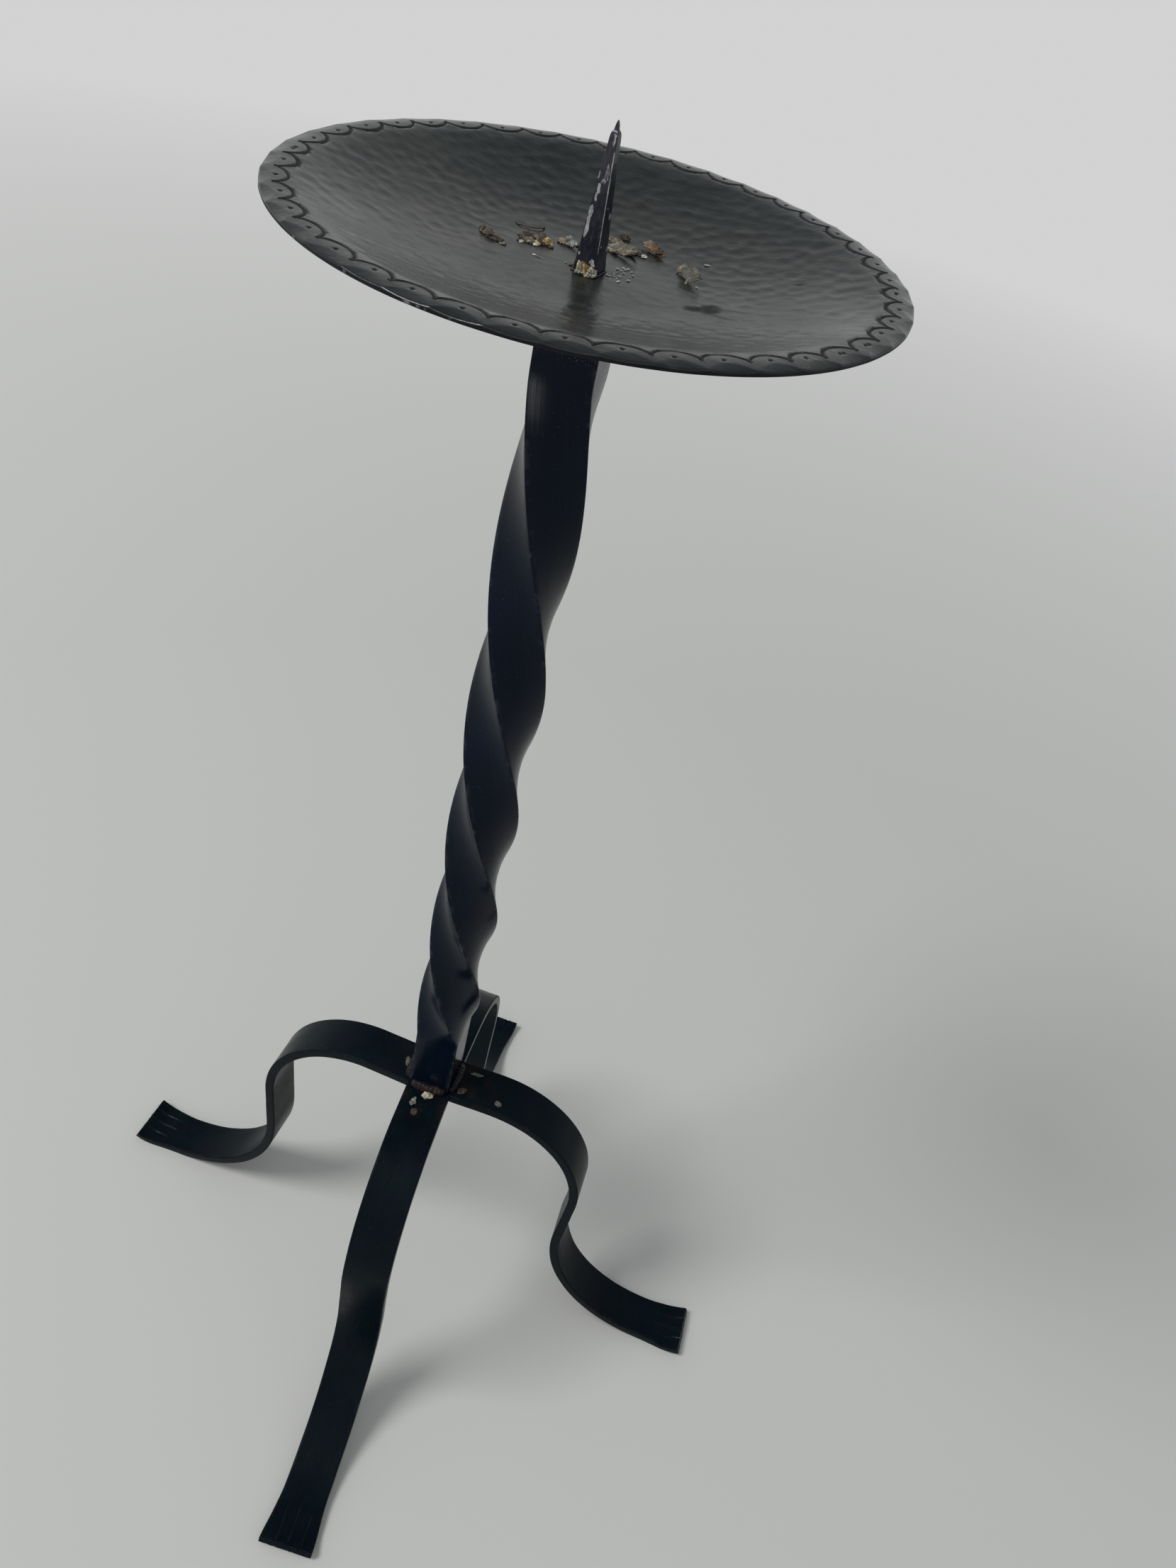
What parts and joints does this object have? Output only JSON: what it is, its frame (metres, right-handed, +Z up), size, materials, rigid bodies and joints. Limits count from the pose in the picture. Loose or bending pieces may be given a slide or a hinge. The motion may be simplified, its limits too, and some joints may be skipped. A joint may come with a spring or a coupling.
{
  "type": "candle stand",
  "caption": "Tall floor pricket stand: round hammered drip pan with a spike, on a twisted square bar with four bent flat-bar legs.",
  "frame": {"origin": "on the floor, under the middle of the stem, at the centre of the four feet", "axes": "+Z up along the stem, +X along the right-hand leg, +Y along the back leg"},
  "size_m": [0.5521, 0.5517, 0.9695],
  "materials": {
    "pan_iron": "hammered, satin charcoal",
    "black_iron": "satin black over forged iron",
    "weld_iron": "painted weld bead with rust and wax"
  },
  "bodies": {
    "root": {"drip_pan": "pan_iron", "pricket_spike": "black_iron", "stem": "black_iron", "leg_right": "black_iron", "leg_back": "black_iron", "leg_left": "black_iron", "leg_front": "black_iron", "weld_right": "weld_iron", "weld_back": "weld_iron", "weld_left": "weld_iron", "weld_front": "weld_iron", "seam_right": "weld_iron", "seam_back": "weld_iron", "seam_left": "weld_iron", "seam_front": "weld_iron", "pan_weld": "weld_iron", "spike_weld": "weld_iron"}
  },
  "joints": []
}
